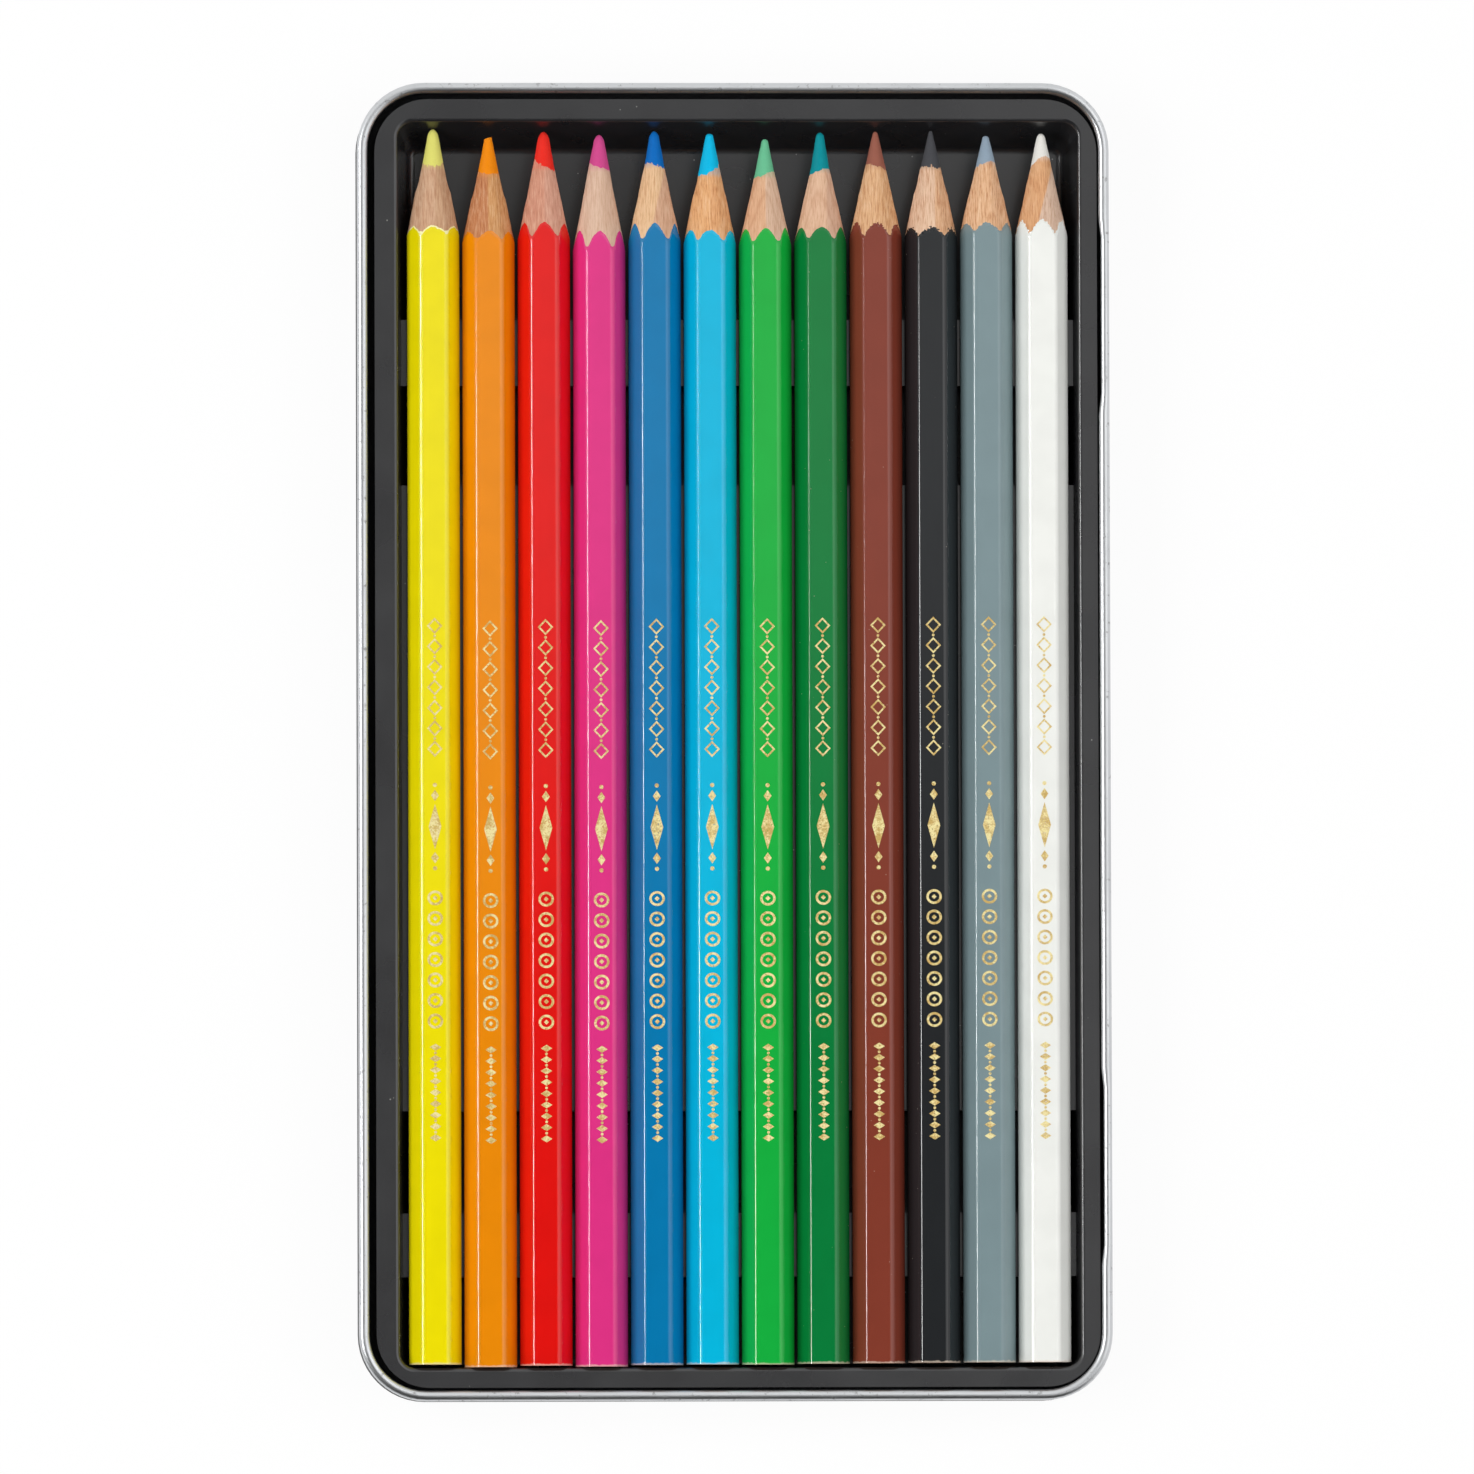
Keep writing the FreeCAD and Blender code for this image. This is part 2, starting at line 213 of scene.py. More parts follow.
pencils = {
    "yellow": dict(
        core=paint(222, 218, 112), nose=0.58, nose_rise=1.0, junction=1.50,
        scallop=14.43, core_shift=(0.0, 0.1), bite=-0.2,
    ),
    "orange": dict(
        core=paint(240, 138, 4), nose=0.46, nose_rise=0.14, junction=1.44,
        scallop=14.3, core_shift=(0.0, 0.11), bite=-0.14,
    ),
    "red": dict(
        core=paint(234, 44, 32), nose=0.64, nose_rise=1.2, junction=1.50,
        scallop=13.57, core_shift=(0.14, 0.08), bite=0.06,
    ),
    "pink": dict(
        core=paint(208, 74, 140), nose=0.57, nose_rise=1.0, junction=1.52,
        scallop=14.4, core_shift=(0.1, 0.02), bite=0.066,
    ),
    "blue": dict(
        core=paint(2, 104, 186), nose=0.53, nose_rise=0.85, junction=1.42,
        scallop=13.85, core_shift=(0.1, -0.08), bite=0.07,
    ),
    "sky_blue": dict(
        core=paint(4, 184, 228), nose=0.47, nose_rise=0.4, junction=1.44,
        scallop=14.37, core_shift=(-0.15, 0.14), bite=-0.07,
    ),
    "light_green": dict(
        core=paint(106, 190, 146), nose=0.39, nose_rise=0.35, junction=1.42,
        scallop=13.35, core_shift=(-0.13, -0.02), bite=0.055,
    ),
    "dark_green": dict(
        core=paint(2, 140, 150), nose=0.48, nose_rise=0.6, junction=1.28,
        scallop=14.12, core_shift=(-0.1, -0.09), bite=0.02,
    ),
    "brown": dict(
        core=paint(152, 92, 76), nose=0.30, nose_rise=0.32, junction=1.42,
        scallop=13.72, core_shift=(0.15, -0.02), bite=-0.01,
    ),
    "black": dict(
        core=paint(70, 71, 75), nose=0.20, nose_rise=0.22, junction=1.40,
        scallop=14.42, core_shift=(0.0, 0.0), bite=-0.14,
    ),
    "grey": dict(
        core=paint(144, 162, 178), nose=0.42, nose_rise=0.3, junction=1.56,
        scallop=13.12, core_shift=(-0.1, -0.17), bite=-0.125,
    ),
    "white": dict(
        core=paint(232, 230, 224), nose=0.46, nose_rise=0.65, junction=1.54,
        scallop=12.97, core_shift=(-0.12, -0.24), bite=0.03,
    ),
}
slanted_noses = {"orange": (0.30, -14)}
ragged_cores = {"black": 0.26, "brown": 0.18, "blue": 0.14}
junction_depth = 5.0 * mm
scallop_depth = 1.6 * mm
butt_recess = 0.03 * mm
overrun = 1.0 * mm
bar_width_share = 1.22


def only(piece):
    """Selects one object and nothing else."""
    bpy.ops.object.select_all(action="DESELECT")
    piece.select_set(True)
    bpy.context.view_layer.objects.active = piece


def pick(piece, kind, chosen):
    """Opens a piece in edit mode with only the edges or faces selected that pass a test."""
    only(piece)
    bpy.ops.object.mode_set(mode="EDIT")
    bpy.ops.mesh.select_mode(type=kind)
    bpy.ops.mesh.select_all(action="DESELECT")
    shape = bmesh.from_edit_mesh(piece.data)
    for part in shape.edges if kind == "EDGE" else shape.faces:
        part.select_set(chosen(part))
    bmesh.update_edit_mesh(piece.data)


def done():
    """Leaves edit mode."""
    bpy.ops.object.mode_set(mode="OBJECT")


def apply(piece, kind, **settings):
    """Adds a modifier to a piece and applies it."""
    only(piece)
    modifier = piece.modifiers.new(kind, kind)
    for key, value in settings.items():
        setattr(modifier, key, value)
    bpy.ops.object.modifier_apply(modifier=modifier.name)


def copy_of(piece, name):
    """A copy of a piece with a mesh of its own."""
    twin = piece.copy()
    twin.data = piece.data.copy()
    twin.name = name
    bpy.context.scene.collection.objects.link(twin)
    return twin


def roughen(piece, size, depth):
    """Pushes a surface in and out at random, with features of the given size."""
    texture = bpy.data.textures.new(piece.name, "CLOUDS")
    texture.noise_scale = size
    texture.noise_depth = 2
    apply(piece, "DISPLACE", texture=texture, texture_coords="LOCAL", strength=depth, mid_level=0.5)


def cut(piece, tool, operation):
    """Cuts a piece with a tool that stays whole."""
    apply(piece, "BOOLEAN", object=tool, operation=operation, solver="MANIFOLD")


def smooth(piece, degrees):
    """Shades a piece smooth, with the flats kept true and the cut edges sharp."""
    only(piece)
    bpy.ops.object.shade_smooth_by_angle(angle=math.radians(degrees))
    apply(piece, "WEIGHTED_NORMAL", keep_sharp=True)


def pencil_place(colour):
    """The middle of a pencil's butt end, and the end of its point."""
    low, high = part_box(f"{colour}_pencil_lacquer")
    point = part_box(f"{colour}_pencil_core")[1].y
    butt = Vector(((low.x + high.x) / 2, low.y, (low.z + high.z) / 2))
    return butt, Vector((butt.x, point, butt.z))


def cone_slope(colour):
    """How much a pencil's cone widens along its length, from the end of the bare core to the lacquer."""
    about = pencils[colour]
    low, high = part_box(f"{colour}_pencil_lacquer")
    half_flats = (high.z - low.z) / 2
    return (half_flats - about["junction"] * mm) / (about["scallop"] * mm - junction_depth)


def bite_share(out, start):
    """How much the blade bites at a place on the cone: most at the hexagon's edges, none on the nose."""
    at_edge = abs(math.sin(3 * math.atan2(out.x, out.z)))
    return at_edge * min(max((-out.y - start) / (0.5 * start), 0), 1)


def runs_back_to(edge, y):
    """Whether an edge of a bar's outline runs along the cone, and its far end lies at the given place."""
    first, second = (vertex.co for vertex in edge.verts)
    sloping = abs(first.x - second.x) > 0.1 * mm and abs(first.y - second.y) > mm
    return sloping and abs(min(first.y, second.y) - y) < 0.01 * mm


def sharpened_bar(colour):
    """What the sharpener and use leave of a pencil: a wide bar behind a cone with a worn nose."""
    about = pencils[colour]
    butt, point = pencil_place(colour)
    nose, rise = about["nose"] * mm, about["nose_rise"] * mm
    junction, scallop = about["junction"] * mm, about["scallop"] * mm
    slope = cone_slope(colour)
    wide = bar_width_share * (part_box(f"{colour}_pencil_lacquer")[1].z - butt.z)
    mouth = junction_depth + (wide - junction) / slope
    scallop_start = scallop - scallop_depth
    nose_steps = 8
    stations = [(0, 0)]
    for step in range(1, nose_steps + 1):
        depth = rise * (1 - math.cos(step / nose_steps * math.pi / 2))
        fullness = math.sin(math.acos(1 - depth / rise))
        stations.append((depth, fullness * (nose + (junction - nose) * depth / junction_depth)))
    stations += [
        (junction_depth, junction),
        (scallop_start, junction + slope * (scallop_start - junction_depth)),
        (mouth, wide),
        (point.y - butt.y + wide, wide),
        (point.y - butt.y + wide, 0),
    ]
    bpy.ops.object.select_all(action="DESELECT")
    bpy.ops.mesh.primitive_plane_add(size=wide, location=point)
    bar = bpy.context.object
    bar.name = f"{colour}_sharpened_bar"
    bpy.ops.object.transform_apply()
    bpy.ops.object.mode_set(mode="EDIT")
    bpy.ops.mesh.select_mode(type="VERT")
    bpy.ops.mesh.merge(type="CENTER")
    for (depth, radius), (last_depth, last_radius) in zip(stations[1:], stations):
        move = (radius - last_radius, last_depth - depth, 0)
        bpy.ops.mesh.extrude_vertices_move(TRANSFORM_OT_translate={"value": move})
    done()
    for depth, cuts in ((junction_depth, 22), (scallop_start, 24), (mouth, 60)):
        pick(bar, "EDGE", lambda e: runs_back_to(e, point.y - depth))
        bpy.ops.mesh.subdivide(number_cuts=cuts)
        done()
    only(bar)
    bpy.ops.object.mode_set(mode="EDIT")
    bpy.ops.mesh.select_all(action="SELECT")
    bpy.ops.mesh.spin(steps=144, angle=math.tau, center=point, axis=(0, 1, 0))
    bpy.ops.mesh.select_all(action="SELECT")
    bpy.ops.mesh.remove_doubles(threshold=0.002 * mm)
    bpy.ops.mesh.normals_make_consistent(inside=False)
    done()
    bite = about["bite"]
    bitten = bar.vertex_groups.new(name="bitten")
    for vertex in bar.data.vertices:
        share = bite_share(vertex.co - point, start=1.2 * junction_depth)
        bitten.add([vertex.index], share if bite > 0 else share ** 4, "REPLACE")
    apply(bar, "DISPLACE", vertex_group="bitten", strength=-bite * mm, mid_level=0)
    roughen(bar, size=2.4 * mm, depth=0.12 * mm)
    if colour in slanted_noses:
        worn_back, slant = slanted_noses[colour]
        ahead = Vector((math.sin(math.radians(slant)), math.cos(math.radians(slant)), 0))
        bpy.ops.object.select_all(action="DESELECT")
        bpy.ops.mesh.primitive_cube_add(
            size=wide,
            location=point + (wide / 2) * ahead - Vector((0, worn_back * mm, 0)),
            rotation=(0, 0, math.radians(-slant)),
        )
        block = bpy.context.object
        bpy.ops.object.transform_apply()
        cut(bar, block, "DIFFERENCE")
        bpy.data.objects.remove(block)
    return bar


def core_stick(colour):
    """A core and some length past the butt, pressed a little out of round and glued in off the middle."""
    butt, point = pencil_place(colour)
    low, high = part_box(f"{colour}_pencil_core")
    radius = (high.x - low.x) / 2
    shift_x, shift_z = pencils[colour]["core_shift"]
    fine = 2.2 * junction_depth
    bpy.ops.object.select_all(action="DESELECT")
    bpy.ops.mesh.primitive_cylinder_add(
        vertices=72,
        radius=radius,
        depth=fine,
        location=(butt.x + shift_x * mm, point.y - fine / 2, butt.z + shift_z * mm),
        rotation=(math.radians(-90), 0, 0),
    )
    stick = bpy.context.object
    stick.name = f"{colour}_core"
    bpy.ops.object.transform_apply()
    pick(stick, "EDGE", lambda e: abs(e.verts[0].co.y - e.verts[1].co.y) > mm)
    bpy.ops.mesh.subdivide(number_cuts=44)
    done()
    roughen(stick, size=0.7 * mm, depth=0.16 * mm)
    roughen(stick, size=0.2 * mm, depth=ragged_cores.get(colour, 0.1) * mm)
    pick(stick, "FACE", lambda f: f.normal.y < -0.9)
    bpy.ops.mesh.extrude_region_move(
        TRANSFORM_OT_translate={"value": (0, butt.y - point.y + fine - overrun, 0)},
    )
    done()
    return stick


def core_finish(colour):
    """Pigment and binder: matt, with fine lines left by the sharpener and by drawing."""
    material, shader = new_finish(f"{colour}_pigment")
    place = millimetres(material)
    lines = noise(material, millimetres(material, stretch=(1, 6, 1)), 5.0, detail=4, roughness=0.6)
    grit = noise(material, place, 9.0, detail=3)
    tone = pencils[colour]["core"]
    pale = [0.98 * c + 0.008 for c in tone[:3]] + [1]
    dark = [0.8 * c for c in tone[:3]] + [1]
    streaked = mixed(material, spread(material, lines, 0.35, 0.7, 0, 1), tone, pale)
    base = mixed(material, spread(material, grit, 0.5, 0.75, 0, 0.6), streaked, dark)
    feed(material, shader.inputs["Base Color"], base)
    feed(material, shader.inputs["Roughness"], spread(material, lines, 0.3, 0.7, 0.5, 0.72))
    feed(material, shader.inputs["Normal"], relief(material, lines, 0.03 * mm, 0.6))
    shader.inputs["Specular IOR Level"].default_value = 0.12
    return material


bars = {colour: sharpened_bar(colour) for colour in pencils}
sticks = {colour: core_stick(colour) for colour in pencils}
for colour in pencils:
    core = copy_of(sticks[colour], f"{colour}_core_stick")
    butt_end = pencil_place(colour)[0] + Vector((0, butt_recess, 0))
    pick(core, "FACE", lambda f: f.normal.y < -0.9 and f.calc_center_median().y < butt_end.y)
    bpy.ops.transform.resize(value=(1, 0, 1), center_override=butt_end)
    done()
    cut(core, bars[colour], "INTERSECT")
    smooth(core, 45)
    core.data.materials.clear()
    core.data.materials.append(core_finish(colour))
    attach(core, f"{colour}_pencil")
    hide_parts(f"{colour}_pencil_core")


# Wooden slats
# Two grooved slats of soft, straight-grained wood, glued together round the core and planed to a hexagon.
# The sharpener bares them as a cone with torn fibres; where the glue plane shows, the two halves differ.

woods = {
    "yellow": dict(
        left=paint(202, 161, 130), right=paint(196, 155, 122),
        seam=(0.3, 0.0), fibre=0.8, rings=0.0, tear=0.03,
    ),
    "orange": dict(
        left=paint(194, 130, 88), right=paint(206, 152, 100),
        seam=(-0.1, 0.0), fibre=1.0, rings=0.0, tear=0.06,
    ),
    "red": dict(
        left=paint(208, 148, 124), right=paint(210, 156, 134),
        seam=(0.0, 0.0), fibre=0.8, rings=0.0, tear=0.03,
    ),
    "pink": dict(
        left=paint(217, 184, 161), right=paint(213, 178, 154),
        seam=(0.4, 0.0), fibre=0.6, rings=0.2, tear=0.03,
    ),
    "blue": dict(
        left=paint(228, 188, 146), right=paint(212, 168, 138),
        seam=(2.6, -0.22), fibre=0.9, rings=0.0, tear=0.02,
    ),
    "sky_blue": dict(
        left=paint(228, 173, 121), right=paint(223, 166, 116),
        seam=(0.0, 0.0), fibre=1.1, rings=0.0, tear=0.03,
    ),
    "light_green": dict(
        left=paint(220, 173, 137), right=paint(217, 183, 157),
        seam=(0.0, 0.0), fibre=0.7, rings=0.45, tear=0.02,
    ),
    "dark_green": dict(
        left=paint(222, 182, 152), right=paint(212, 172, 146),
        seam=(0.8, 0.0), fibre=0.7, rings=0.4, tear=0.02,
    ),
    "brown": dict(
        left=paint(221, 175, 132), right=paint(216, 167, 122),
        seam=(0.3, 0.0), fibre=1.2, rings=0.0, tear=0.12,
    ),
    "black": dict(
        left=paint(224, 187, 158), right=paint(218, 172, 134),
        seam=(0.5, 0.0), fibre=1.2, rings=0.0, tear=0.14,
    ),
    "grey": dict(
        left=paint(226, 180, 140), right=paint(219, 174, 136),
        seam=(0.6, 0.0), fibre=1.3, rings=0.0, tear=0.07,
    ),
    "white": dict(
        left=paint(219, 166, 121), right=paint(215, 184, 162),
        seam=(2.8, -0.27), fibre=0.9, rings=0.0, tear=0.12,
    ),
}
lacquer_thickness = 0.12 * mm
edge_radius = 0.9 * mm


def hexagon_bar(name, colour, inset):
    """A hexagonal bar with a flat on top and rounded long edges, so far inside the lacquer's surface."""
    butt, point = pencil_place(colour)
    half_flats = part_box(f"{colour}_pencil_lacquer")[1].z - butt.z - inset
    length = point.y - butt.y
    bpy.ops.object.select_all(action="DESELECT")
    bpy.ops.mesh.primitive_cylinder_add(
        vertices=6,
        radius=half_flats / math.cos(math.radians(30)),
        depth=length,
        location=(butt + point) / 2,
        rotation=(math.radians(-90), math.radians(30), 0),
    )
    bar = bpy.context.object
    bar.name = name
    bpy.ops.object.transform_apply()
    pick(bar, "EDGE", lambda e: abs(e.verts[0].co.y - e.verts[1].co.y) > length / 2)
    bpy.ops.mesh.bevel(offset=(edge_radius - inset) * math.tan(math.radians(30)), segments=8)
    done()
    return bar


def wood_finish(colour):
    """Sharpened soft wood: straight fibres, pores, growth rings, and pigment rubbed in next to the core."""
    about = woods[colour]
    point = pencil_place(colour)[1]
    material, shader = new_finish(f"{colour}_wood")
    fibres = noise(material, millimetres(material, stretch=(1, 20, 4)), 6.5, detail=4, roughness=0.65)
    pores = noise(material, millimetres(material, stretch=(1, 12, 4)), 11.0, detail=2)
    slow = noise(material, millimetres(material, stretch=(1, 4, 1)), 0.3, detail=1)
    bands = noise(material, millimetres(material, stretch=(1, 10, 1)), 0.7, detail=2)
    place = millimetres(material, centre=point)
    across = node(material, "SeparateXYZ", {0: place}, output="X")
    depth = sums(material, "MULTIPLY", node(material, "SeparateXYZ", {0: place}, output="Y"), -1)
    height = node(material, "SeparateXYZ", {0: place}, output="Z")
    seam, seam_lean = about["seam"]
    edge = sums(material, "ADD", sums(material, "MULTIPLY", depth, seam_lean), seam)
    wavy_across = sums(material, "ADD", across, sums(material, "MULTIPLY", bands, 0.3))
    past_seam = sums(material, "SUBTRACT", wavy_across, edge)
    tone = mixed(material, spread(material, past_seam, 0.05, 0.3, 0, 1), about["left"], about["right"])
    dark = mixed(material, 1.0, tone, paint(216, 190, 172), "MULTIPLY")
    light = mixed(material, 0.35, tone, paint(250, 226, 196))
    streaks = sums(material, "MULTIPLY", spread(material, fibres, 0.5, 0.3, 0, 1), about["fibre"])
    grained = mixed(material, streaks, tone, dark)
    glints = sums(material, "MULTIPLY", spread(material, fibres, 0.52, 0.7, 0, 1), about["fibre"])
    lit = mixed(material, glints, grained, light)
    layers = sums(material, "ADD", height, sums(material, "MULTIPLY", slow, 2.4))
    ring = node(material, "Math", {0: layers, 1: 0.6}, operation="PINGPONG")
    ring_lines = sums(material, "MULTIPLY", spread(material, ring, 0.0, 0.26, 1, 0), about["rings"])
    ringed = mixed(material, ring_lines, lit, mixed(material, 1.0, tone, paint(222, 200, 186), "MULTIPLY"))
    pored = mixed(material, spread(material, pores, 0.58, 0.74, 0, 0.32), ringed, dark)
    low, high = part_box(f"{colour}_pencil_core")
    shift = pencils[colour]["core_shift"][1]
    above = (high.x - low.x) / 2 + (shift - pencils[colour]["junction"]) * mm
    bare_core = (junction_depth + above / cone_slope(colour)) / mm
    ragged_depth = sums(material, "ADD", depth, sums(material, "MULTIPLY", fibres, -1.2))
    rubbed = spread(material, ragged_depth, bare_core - 0.6, bare_core, 0.24, 0)
    feed(material, shader.inputs["Base Color"], mixed(material, rubbed, pored, pencils[colour]["core"]))
    feed(material, shader.inputs["Normal"], relief(material, fibres, 0.04 * mm, 0.5))
    shader.inputs["Roughness"].default_value = 0.75
    shader.inputs["Specular IOR Level"].default_value = 0.2
    return material


torn_bars = {}
for colour in pencils:
    torn_bars[colour] = copy_of(bars[colour], f"{colour}_torn_bar")
    roughen(torn_bars[colour], size=0.3 * mm, depth=2 * woods[colour]["tear"] * mm)
    roughen(bars[colour], size=0.4 * mm, depth=0.03 * mm)
    wood = hexagon_bar(f"{colour}_slats", colour, lacquer_thickness)
    cut(wood, bars[colour], "INTERSECT")
    cut(wood, sticks[colour], "DIFFERENCE")
    smooth(wood, 40)
    wood.data.materials.clear()
    wood.data.materials.append(wood_finish(colour))
    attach(wood, f"{colour}_pencil")
    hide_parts(f"{colour}_pencil_upper_slat", f"{colour}_pencil_lower_slat")


# Lacquer
# Several dips of glossy lacquer over the planed wood, one colour to a pencil.
# The sharpener cuts it back in a scallop on each flat, which shows its thickness as a thin edge.

lacquers = {
    "yellow": paint(236, 220, 4),
    "orange": paint(232, 136, 6),
    "red": paint(222, 18, 14),
    "pink": paint(220, 50, 130),
    "blue": paint(4, 118, 172),
    "sky_blue": paint(4, 180, 218),
    "light_green": paint(20, 172, 62),
    "dark_green": paint(6, 121, 56),
    "brown": paint(129, 58, 43),
    "black": paint(36, 38, 40),
    "grey": paint(123, 143, 147),
    "white": paint(238, 239, 234),
}
undercoats = {"yellow": paint(246, 242, 176)}
dusty = ("dark_green", "brown", "black")
foil_thickness = 0.02 * mm


def coat_depth(material, colour):
    """How far a point lies below the lacquer's outside, in millimetres, square to the nearest flat."""
    low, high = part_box(f"{colour}_pencil_lacquer")
    place = millimetres(material, centre=(low + high) / 2)
    across = node(material, "SeparateXYZ", {0: place}, output="X")
    height = node(material, "SeparateXYZ", {0: place}, output="Z")
    reach = sums(material, "ABSOLUTE", height, 0)
    for turn in (math.radians(60), math.radians(-60)):
        sideways = sums(material, "MULTIPLY", across, math.sin(turn))
        turned = sums(material, "ADD", sideways, sums(material, "MULTIPLY", height, math.cos(turn)))
        reach = sums(material, "MAXIMUM", reach, sums(material, "ABSOLUTE", turned, 0))
    return sums(material, "SUBTRACT", (high.z - low.z) / 2 / mm, reach)


def lacquer_finish(colour):
    """Glossy dipped lacquer: slow waves and fine draw lines along the pencil, and specks of dust."""
    material, shader = new_finish(f"{colour}_gloss")
    place = millimetres(material)
    waves = noise(material, millimetres(material, stretch=(1, 12, 1)), 1.2, detail=2)
    lines = noise(material, millimetres(material, stretch=(1, 40, 1)), 6.0, detail=2)
    clouds = noise(material, place, 0.2, detail=2)
    tone = lacquers[colour]
    deep = [0.95 * c for c in tone[:3]] + [1]
    base = mixed(material, spread(material, clouds, 0.35, 0.7, 0, 1), tone, deep)
    facing = node(material, "NewGeometry", {}, output="Normal")
    ahead = node(material, "SeparateXYZ", {0: facing}, output="Y")
    cut_edge = spread(material, ahead, 0.06, 0.12, 0, 1)
    below = spread(material, coat_depth(material, colour), 0.07, 0.08, 0, 1)
    edged = mixed(material, cut_edge, base, mixed(material, below, deep, undercoats.get(colour, deep)))
    butt = pencil_place(colour)[0]
    along = node(material, "SeparateXYZ", {0: millimetres(material, centre=butt)}, output="Y")
    chipped = sums(material, "SUBTRACT", along, sums(material, "MULTIPLY", waves, 0.5))
    worn = mixed(material, spread(material, chipped, -0.1, 0.05, 0.5, 0), edged, paint(226, 206, 186))
    if colour in dusty:
        dust = spread(material, specks(material, place, 0.5), 0.015, 0.045, 0.5, 0)
        worn = mixed(material, dust, worn, paint(196, 188, 172))
    feed(material, shader.inputs["Base Color"], worn)
    feed(material, shader.inputs["Roughness"], spread(material, lines, 0.3, 0.7, 0.04, 0.07))
    height = sums(material, "ADD", waves, sums(material, "MULTIPLY", lines, 0.1))
    feed(material, shader.inputs["Normal"], relief(material, height, 0.008 * mm, 0.5))
    shader.inputs["Specular IOR Level"].default_value = 0.5
    return material


for colour in pencils:
    lacquer = hexagon_bar(f"{colour}_lacquer", colour, foil_thickness)
    pick(lacquer, "FACE", lambda f: abs(f.normal.y) > 0.9)
    bpy.ops.mesh.delete(type="FACE")
    done()
    coat = lacquer_thickness - foil_thickness
    apply(lacquer, "SOLIDIFY", thickness=coat, offset=-1, use_even_offset=True)
    cut(lacquer, torn_bars[colour], "INTERSECT")
    smooth(lacquer, 10)
    lacquer.data.materials.clear()
    lacquer.data.materials.append(lacquer_finish(colour))
    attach(lacquer, f"{colour}_pencil")
    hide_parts(f"{colour}_pencil_lacquer")
for tool in [*bars.values(), *torn_bars.values(), *sticks.values()]:
    bpy.data.objects.remove(tool)


# Gold stamp
# A plain ornament along the upper flat of each pencil: lozenges, rings and dots in four groups.
# A heated die pressed it from gold foil onto the lacquer, so the gold is thin, a little patchy and worn.

stamp_stroke = 0.34 * mm
stamp_width = 2.2 * mm
stamp_pitch = 2.9 * mm
small_dot = 0.4 * mm
lozenge_row = 87 * mm
long_lozenge = 76 * mm
ring_row = 48.5 * mm
chain_row = 32 * mm
chain_pitch = 1.6 * mm
foil_depth = 1.2 * foil_thickness


def stamp_mark(corners, along, length, width, open_middle=False):
    """One flat mark on the first pencil's upper flat, so far from the butt: a lozenge or a round one."""
    place = Vector((stamp_axis.x, stamp_axis.y + along, stamp_axis.z))
    bpy.ops.object.select_all(action="DESELECT")
    bpy.ops.mesh.primitive_circle_add(
        vertices=corners,
        radius=0.5,
        fill_type="NOTHING" if open_middle else "NGON",
        location=place,
    )
    mark = bpy.context.object
    mark.scale = (width, length, 1)
    bpy.ops.object.transform_apply()
    if open_middle:
        bpy.ops.object.mode_set(mode="EDIT")
        bpy.ops.mesh.select_all(action="SELECT")
        bpy.ops.mesh.extrude_edges_move()
        shrink = (1 - 2 * stamp_stroke / width, 1 - 2 * stamp_stroke / length, 1)
        bpy.ops.transform.resize(value=shrink, center_override=place)
        done()
    return mark


def stamp_strip():
    """The whole ornament on the first pencil, as one thin sheet of foil."""
    marks = []
    for step in range(7):
        along = lozenge_row + stamp_pitch * step
        marks.append(stamp_mark(4, along, length=2.3 * mm, width=stamp_width, open_middle=True))
    for step in range(6):
        along = lozenge_row + stamp_pitch * (step + 0.5)
        marks.append(stamp_mark(12, along, small_dot, small_dot))
    marks.append(stamp_mark(4, long_lozenge, length=6.4 * mm, width=1.8 * mm))
    for side in (-1, 1):
        marks.append(stamp_mark(4, long_lozenge + side * 4.4 * mm, length=1.6 * mm, width=1.1 * mm))
        marks.append(stamp_mark(12, long_lozenge + side * 5.9 * mm, length=0.6 * mm, width=0.6 * mm))
    for step in range(7):
        along = ring_row + stamp_pitch * step
        marks.append(stamp_mark(24, along, length=2.1 * mm, width=stamp_width, open_middle=True))
        marks.append(stamp_mark(4, along, length=0.7 * mm, width=0.7 * mm))
    for step in range(9):
        along = chain_row + chain_pitch * step
        marks.append(stamp_mark(4, along, length=1.0 * mm, width=1.6 * mm))
    for step in range(8):
        along = chain_row + chain_pitch * (step + 0.5)
        marks.append(stamp_mark(12, along, small_dot, small_dot))
    bpy.ops.object.select_all(action="DESELECT")
    for mark in marks:
        mark.select_set(True)
    strip = marks[0]
    bpy.context.view_layer.objects.active = strip
    bpy.ops.object.join()
    apply(strip, "SOLIDIFY", thickness=foil_depth, offset=0)
    only(strip)
    bpy.ops.object.mode_set(mode="EDIT")
    bpy.ops.mesh.select_all(action="SELECT")
    bpy.ops.mesh.normals_make_consistent(inside=False)
    bpy.ops.transform.translate(value=(0, 0, -foil_depth / 2))
    done()
    return strip


def foil_finish(colour):
    """Pale gold foil: a soft metal sheen, and small gaps where the lacquer shows through."""
    material, shader = new_finish(f"{colour}_gold_foil")
    place = millimetres(material)
    clouds = noise(material, place, 0.8, detail=2)
    grain = noise(material, place, 4.0, detail=3, roughness=0.6)
    pressed = spread(material, sums(material, "ADD", clouds, grain), 0.85, 1.15, 0, 1)
    gold = mixed(material, pressed, paint(242, 228, 166), paint(204, 170, 96))
    gaps = spread(material, grain, 0.6, 0.68, 0, 0.7)
    feed(material, shader.inputs["Base Color"], mixed(material, gaps, gold, lacquers[colour]))
    feed(material, shader.inputs["Roughness"], spread(material, grain, 0.3, 0.7, 0.35, 0.5))
    feed(material, shader.inputs["Normal"], relief(material, grain, 0.006 * mm, 0.5))
    shader.inputs["Metallic"].default_value = 0.3
    return material


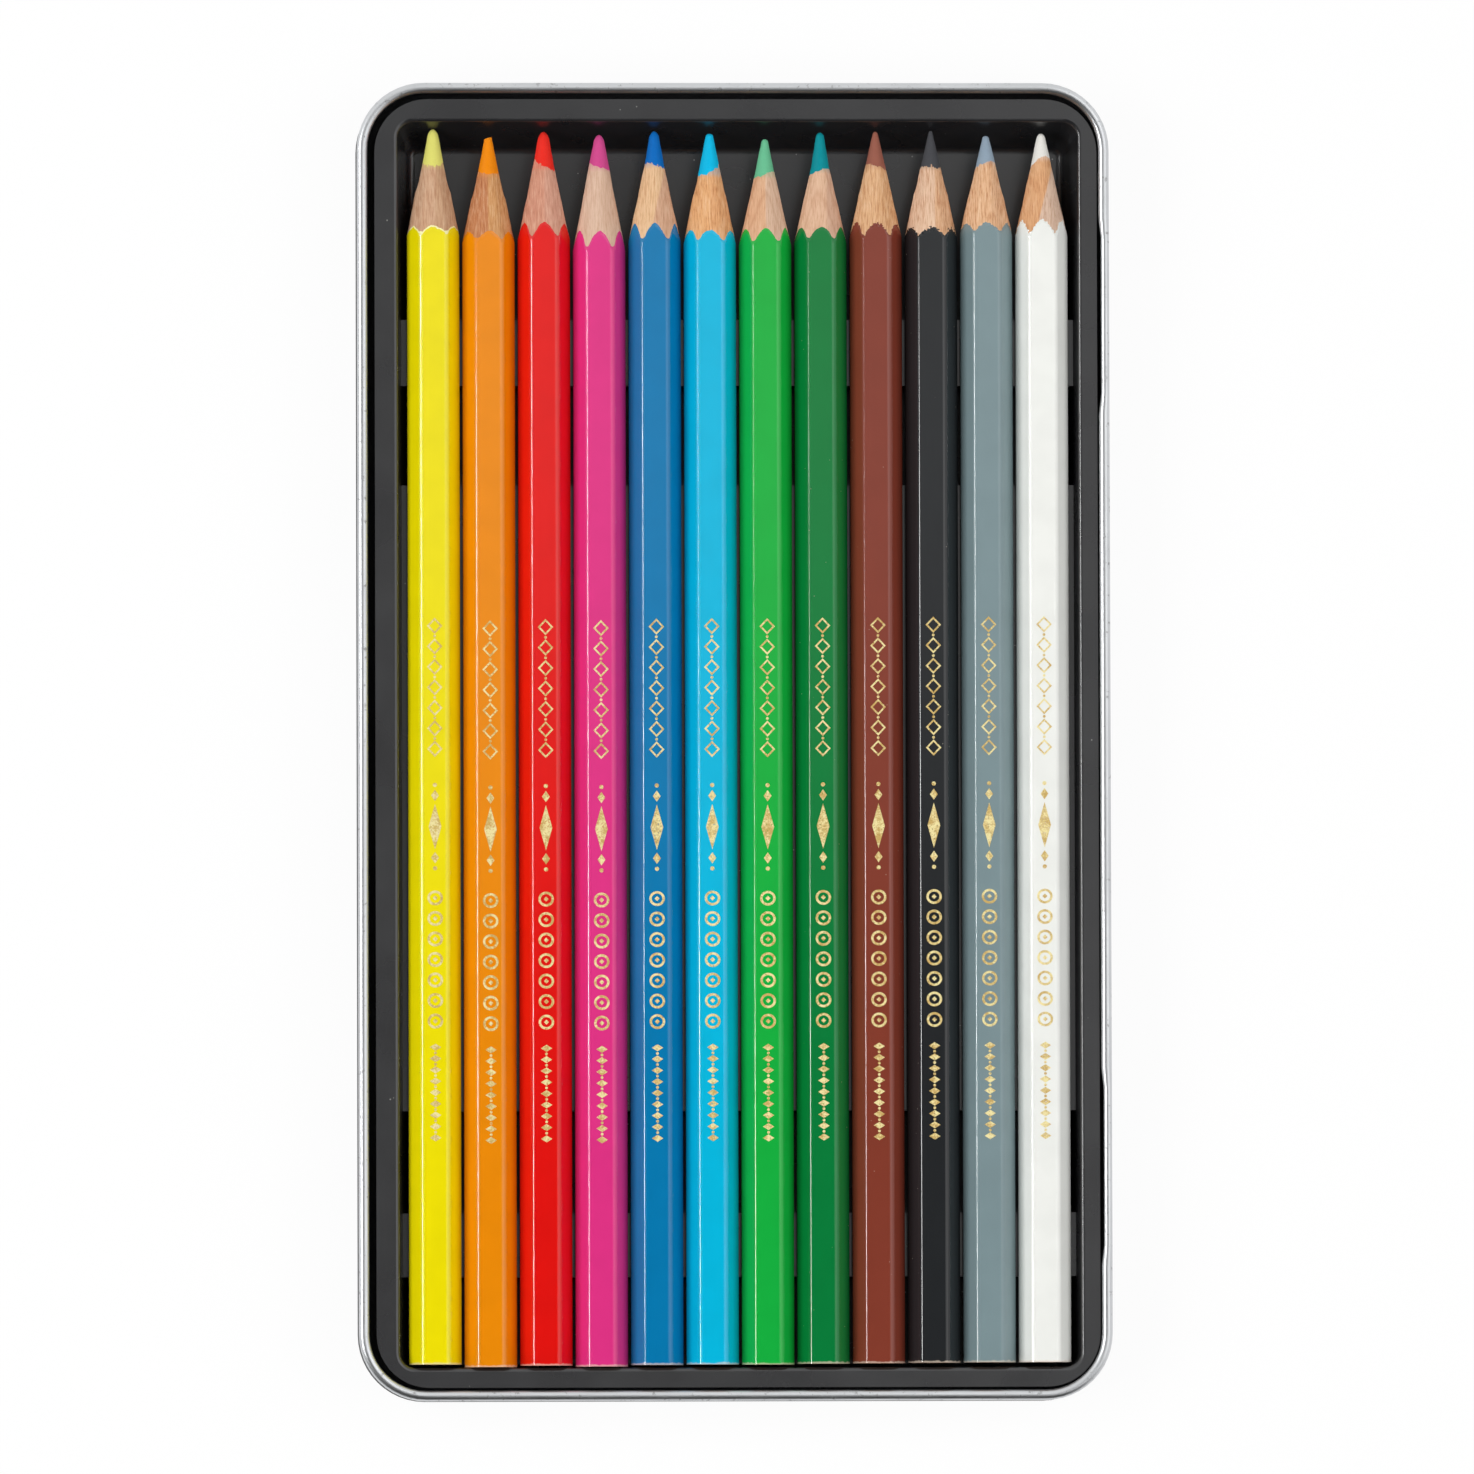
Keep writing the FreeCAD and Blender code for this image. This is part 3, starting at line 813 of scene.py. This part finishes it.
stamp_axis = pencil_place("yellow")[0]
stamp_axis.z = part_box("yellow_pencil_lacquer")[1].z
master_stamp = stamp_strip()
for colour in pencils:
    stamp = copy_of(master_stamp, f"{colour}_gold_stamp")
    stamp.data.transform(Matrix.Translation(pencil_place(colour)[0] - pencil_place("yellow")[0]))
    stamp.data.materials.clear()
    stamp.data.materials.append(foil_finish(colour))
    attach(stamp, f"{colour}_pencil")
bpy.data.objects.remove(master_stamp)


# Stage
# A plain white table top, with a strip lamp low on the left and soft lamps to both sides.
# The walls to the right and at the back are pale, so that they show in the glosses.
# The camera looks almost straight down through a long lens.

table_size = 12
lamp_distance = 1.4
room_light = 0.23
sensor_width = 36
lens_length = 500
camera_distance = 2.896
camera_lean = math.radians(2.5)
camera_roll = math.radians(-0.16)
camera_aim = Vector((0.30 * mm, 0.51 * mm, cad_high.z))

bpy.ops.object.select_all(action="DESELECT")
bpy.ops.mesh.primitive_plane_add(size=table_size, location=(0, 0, 0))
table = bpy.context.object
table.name = "table_top"


def seen_directly(material):
    """1 for what the camera sees straight, in a gloss or through glass, and 0 for light on its way."""
    path = material.node_tree.nodes.new("ShaderNodeLightPath").outputs
    gloss = sums(material, "MAXIMUM", path["Is Glossy Ray"], path["Is Transmission Ray"])
    return sums(material, "MAXIMUM", path["Is Camera Ray"], gloss)


table_finish, table_shader = new_finish("table_white")
table_shader.inputs["Base Color"].default_value = (0.9, 0.9, 0.9, 1)
table_shader.inputs["Roughness"].default_value = 0.9
table_shader.inputs["Specular IOR Level"].default_value = 0
white = node(table_finish, "Emission", {"Color": (1, 1, 1, 1), "Strength": 1})
share = sums(table_finish, "MULTIPLY", seen_directly(table_finish), 0.94)
surface = node(table_finish, "MixShader", {0: share, 1: table_shader.outputs[0], 2: white})
feed(table_finish, table_finish.node_tree.nodes["Material Output"].inputs["Surface"], surface)
table.data.materials.append(table_finish)


def lamp(name, degrees_left, across, along, watts, in_gloss=True, in_matt=True):
    """A lamp that faces the set from an angle left of overhead, and lights glosses, matt parts or both."""
    angle = math.radians(degrees_left)
    light = bpy.data.lights.new(name, "AREA")
    light.shape = "RECTANGLE"
    light.size = across
    light.size_y = along
    light.energy = watts
    box = bpy.data.objects.new(name, light)
    box.location = (-lamp_distance * math.sin(angle), 0, lamp_distance * math.cos(angle))
    box.rotation_euler = (0, -angle, 0)
    box.visible_camera = False
    box.visible_glossy = in_gloss
    box.visible_diffuse = in_matt
    bpy.context.scene.collection.objects.link(box)


lamp("strip_left", 58, across=0.12, along=0.6, watts=9.0, in_matt=False)
lamp("fill_left", 49, across=0.8, along=1.2, watts=15.9, in_gloss=False)
lamp("softbox_right", -29, across=1.07, along=1.5, watts=5.4)
lamp("fill_right", -55, across=0.8, along=1.2, watts=8.0, in_gloss=False)
world = bpy.data.worlds.new("studio")
world.use_nodes = True
sky = node(world, "TexCoord", {}, output="Generated")
to_right = node(world, "SeparateXYZ", {0: sky}, output="X")
to_back = node(world, "SeparateXYZ", {0: sky}, output="Y")
right_wall = spread(world, to_right, 0.5, 0.8, 0.03, 0.9)
panel = spread(world, to_back, 0.03, 0.055, 0, 0.6)
back_wall = spread(world, to_back, 0.12, 0.35, 0, 1)
seen = sums(world, "MAXIMUM", right_wall, sums(world, "MAXIMUM", panel, back_wall))
room = node(world, "Mix", {0: seen_directly(world), 2: room_light, 3: seen}, data_type="FLOAT")
feed(world, world.node_tree.nodes["Background"].inputs["Strength"], room)
world.node_tree.nodes["Background"].inputs["Color"].default_value = (1, 1, 1, 1)
bpy.context.scene.world = world

lens = bpy.data.cameras.new("camera")
lens.sensor_width = sensor_width
lens.lens = lens_length
camera = bpy.data.objects.new("camera", lens)
lean = math.tan(camera_lean)
back = Vector((-lean, -lean, 1)).normalized()
camera.location = camera_aim + camera_distance * back
right = Vector((0, 1, 0)).cross(back).normalized()
level = Matrix((right, back.cross(right), back)).transposed()
camera.rotation_euler = (level @ Matrix.Rotation(camera_roll, 3, "Z")).to_euler()
bpy.context.scene.collection.objects.link(camera)
bpy.context.scene.camera = camera
bpy.context.scene.view_settings.view_transform = "Standard"
